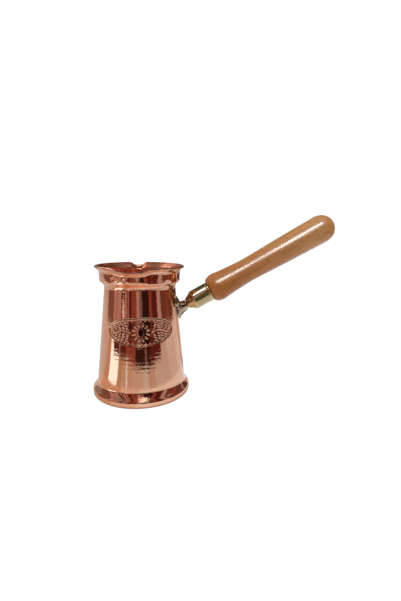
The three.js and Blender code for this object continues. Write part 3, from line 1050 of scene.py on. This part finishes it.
def make_room():
    """What the copper and the brass mirror: a dim room, a table, and a few things on it."""
    fan(ROOM, standing(room_distance, ROOM_TOP))
    fan(LOW_TABLE, standing(lambda angle: min(room_distance(angle) - 0.004, LOW_REACH), LOW_HEIGHT))
    fan(TABLE, lying(TABLE_REACH, TABLE_LEVEL))
    fan(NEAR_TABLE, lying(NEAR_REACH, TABLE_LEVEL))

    # a dark corner behind the handle, which darkens its edges
    card("dark_corner", upright((0.12, 0.75), 0.45, 0.55), (0.10, 0.06, 0.04))

    fan(BOARD, standing(lambda angle: BOARD_DISTANCE, BOARD_HEIGHT))

    # a dim ceiling behind the pot, which darkens what faces up
    card("ceiling", flat((-0.4, 0.9), (0.12, 1.3), 0.8), (0.10, 0.085, 0.07))

    # a small bright thing on the table, seen in collar and cone
    glint = standing(lambda angle: room_distance(angle) - 0.006, 0.062, 0.038)
    card("glint", glint(-54, -47), (0.95, 0.80, 0.84))

    # a window high on the left, for the inside of the mouth and the front of the grip
    window = standing(lambda angle: 0.5, 0.62, 0.20)
    card("window", window(-128, -88), (1, 0.97, 0.95), 2.0)


def make_lamp(name, place, along, towards, size, energy):
    """A soft box at place, its long side along a direction, shining towards a point."""
    light = bpy.data.lights.new(name, "AREA")
    light.shape = "RECTANGLE"
    light.size, light.size_y = size
    light.energy = energy
    lamp = bpy.data.objects.new(name, light)
    back = (Vector(place) - Vector(towards)).normalized()
    side = (Vector(along) - back * Vector(along).dot(back)).normalized()
    axes = Matrix((side, back.cross(side), back)).transposed().to_4x4()
    lamp.matrix_world = Matrix.Translation(place) @ axes
    bpy.context.scene.collection.objects.link(lamp)
    return lamp


def group(name, pieces):
    """A collection that says what a lamp shines on."""
    collection = bpy.data.collections.new(name)
    for piece in pieces:
        collection.objects.link(piece)
    return collection


def make_floor():
    """A matt floor that the camera sees almost white, with a faint shadow on it."""
    span = (-FLOOR_HALF, FLOOR_HALF)
    floor = new_object("floor", flat(span, span, 0), [(0, 1, 2, 3)])
    nodes = Nodes("pale_floor")
    nodes.set(Base_Color=(0.80, 0.80, 0.80, 1), Roughness=0.8, Specular_IOR_Level=0.0)
    white = nodes.add("ShaderNodeEmission")
    white.inputs["Color"].default_value = (1, 1, 1, 1)
    white.inputs["Strength"].default_value = 1.15
    mix = nodes.add("ShaderNodeMixShader")
    seen = nodes.math("MULTIPLY", nodes.add("ShaderNodeLightPath").outputs["Is Camera Ray"], 0.85)
    nodes.link(seen, mix.inputs[0])
    nodes.link(nodes.shader.outputs[0], mix.inputs[1])
    nodes.link(white.outputs[0], mix.inputs[2])
    nodes.link(mix.outputs[0], nodes.tree.nodes["Material Output"].inputs["Surface"])
    floor.data.materials.append(nodes.material)
    floor.location.z = FLOOR_LEVEL


def make_world():
    """White behind everything for the camera, dim and warm for everything else."""
    world = bpy.data.worlds.new("studio")
    bpy.context.scene.world = world
    world.use_nodes = True
    tree = world.node_tree
    backdrop = tree.nodes["Background"]
    backdrop.inputs["Color"].default_value = (1, 1, 1, 1)
    dim = tree.nodes.new("ShaderNodeBackground")
    dim.inputs["Color"].default_value = (1.0, 0.97, 0.95, 1)
    dim.inputs["Strength"].default_value = 0.30
    mix = tree.nodes.new("ShaderNodeMixShader")
    tree.links.new(tree.nodes.new("ShaderNodeLightPath").outputs["Is Camera Ray"], mix.inputs[0])
    tree.links.new(dim.outputs[0], mix.inputs[1])
    tree.links.new(backdrop.outputs[0], mix.inputs[2])
    tree.links.new(mix.outputs[0], tree.nodes["World Output"].inputs["Surface"])


def make_window_light():
    """Light that lies on the table, most of it to the left: upright streaks in the cone."""
    near, far = WEDGE_REACH
    for (far_left, near_left, near_right, far_right), strength in WINDOW_WEDGES:
        corners = [
            around(far_left, far, WINDOW_LEVEL),
            around(near_left, near, WINDOW_LEVEL),
            around(near_right, near, WINDOW_LEVEL),
            around(far_right, far, WINDOW_LEVEL),
        ]
        card("window_light", corners, WINDOW_TINT, strength)


STRIP_DISTANCE = 0.60
STRIP_RISE = 50  # degrees above the side of the handle that faces the camera


def make_studio(grip, metal):
    """Light for the whole, and lamps that shine only on the grip or only on ferrule and rivets."""
    make_world()
    make_floor()
    make_room()

    # long soft boxes beside the handle: one draws the streak on the grip, one that on the ferrule
    middle = Vector((0, 0, HANDLE_HEIGHT * MM)) + HANDLE_AXIS * 0.09
    up = Vector((-HANDLE_AXIS.z, 0, HANDLE_AXIS.x))
    rise = math.radians(STRIP_RISE)
    out = math.cos(rise) * Vector((0, -1, 0)) + math.sin(rise) * up
    strips = (  # what it shines on, station from the middle, size, energy, colour
        (grip, 0.17, (0.46, 0.13), 7.0, (1, 1, 1)),
        (metal, -0.04, (0.16, 0.60), 1.25, (0.80, 0.97, 1.35)),
    )
    for receivers, station, size, energy, colour in strips:
        place = middle + STRIP_DISTANCE * out + station * HANDLE_AXIS
        strip = make_lamp("strip", place, HANDLE_AXIS, place - out, size, energy)
        strip.data.color = colour
        strip.visible_diffuse = False
        strip.light_linking.receiver_collection = receivers

    # a dim sheet in front of the ferrule, which lifts its darkest band
    facing = ((0.05, -0.12, 0.07), (1, 0, 0), (0.05, 0, 0.075))
    sheet = make_lamp("sheet", *facing, (0.14, 0.10), 0.0035)
    sheet.data.color = (0.75, 1.0, 0.75)
    sheet.visible_diffuse = False
    sheet.light_linking.receiver_collection = metal

    # a small lamp in front, for the sparks on foot, lip and rivets
    front = make_lamp("front", around(4, 0.50, 0.60), (1, 0, 0), (0, 0, 0.05), (0.18, 0.18), 3.0)
    front.visible_diffuse = False

    overhead = make_lamp("overhead", (0, 0.1, 1.4), (1, 0, 0), (0, 0, 0), (1.6, 1.6), 13.0)
    overhead.visible_glossy = False

    make_window_light()


def make_camera():
    turn, tilt, roll = (math.radians(v) for v in (CAMERA_TURN, CAMERA_TILT, CAMERA_ROLL))
    level = Vector((math.sin(turn), math.cos(turn), 0))
    forward = math.cos(tilt) * level - math.sin(tilt) * Vector((0, 0, 1))
    right = Vector((math.cos(turn), -math.sin(turn), 0))
    down = forward.cross(right)
    rolled_right = math.cos(roll) * right + math.sin(roll) * down
    rolled_down = math.cos(roll) * down - math.sin(roll) * right
    data = bpy.data.cameras.new("camera")
    data.lens = CAMERA_LENS
    data.sensor_width = 36
    data.clip_start, data.clip_end = 0.01, 50
    camera = bpy.data.objects.new("camera", data)
    place = around(0, CAMERA_DISTANCE, CAMERA_HEIGHT)
    axes = Matrix((rolled_right, -rolled_down, -forward)).transposed().to_4x4()
    camera.matrix_world = Matrix.Translation(place) @ axes
    bpy.context.scene.collection.objects.link(camera)
    bpy.context.scene.camera = camera


# ---------- scene ----------

make_camera()
copper = copper_material()
cast = brass_material("cast_brass", (0.68, 0.52, 0.34), (0.46, 0.35, 0.22), 0.10, 1400.0)
bright = brass_material("turned_brass", (0.78, 0.60, 0.34), (0.62, 0.47, 0.25), 0.09, 2600.0)
make_pot(copper, copper_inside_material())
make_bracket(cast)
rivets = [make_rivet(node, cast) for node in ("rivet_front", "rivet_rear")]
make_stud(steel_material())
grip_only = group("grip_only", [make_grip(beech_material())])
metal_only = group("metal_only", [make_ferrule(bright), *rivets])
make_studio(grip_only, metal_only)

# the insert inside the wood is the frame's own piece, in brass
insert = frame["nodes"]["threaded_insert"]
insert.data.materials.clear()
insert.data.materials.append(bright)

bpy.context.scene.view_settings.view_transform = "Standard"
